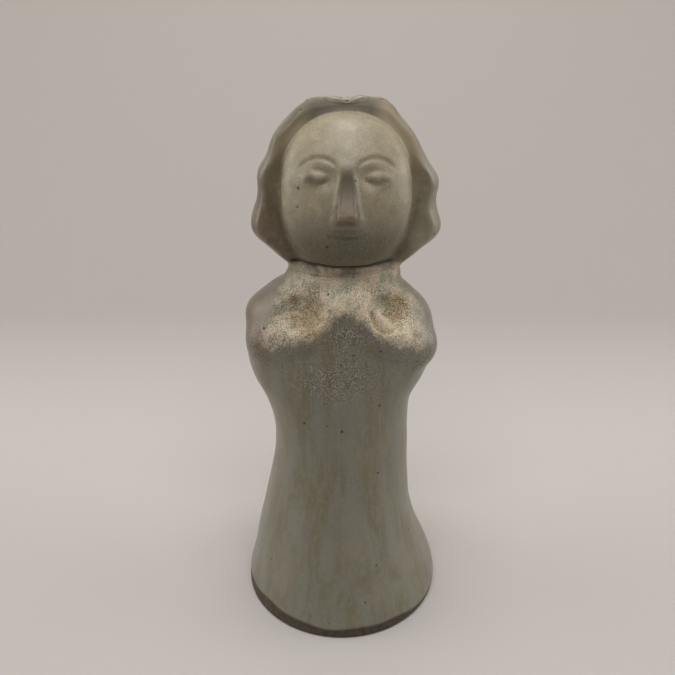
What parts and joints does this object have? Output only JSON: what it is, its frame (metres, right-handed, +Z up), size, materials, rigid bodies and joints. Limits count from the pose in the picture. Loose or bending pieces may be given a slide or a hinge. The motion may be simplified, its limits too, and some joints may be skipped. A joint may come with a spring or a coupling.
{
  "type": "figure vase",
  "caption": "Hollow glazed stoneware vase shaped as a standing figure with folded arms and wavy hair, open at the crown of the head for water and stems.",
  "frame": {"origin": "middle of the flat underside", "axes": "+Z up through the crown of the head, -Y the way the figure faces, +X to the viewer's right"},
  "size_m": [0.0728, 0.0735, 0.18],
  "materials": {
    "celadon_glaze": "satin"
  },
  "bodies": {
    "root": {"figure_vase": "celadon_glaze"}
  },
  "joints": []
}
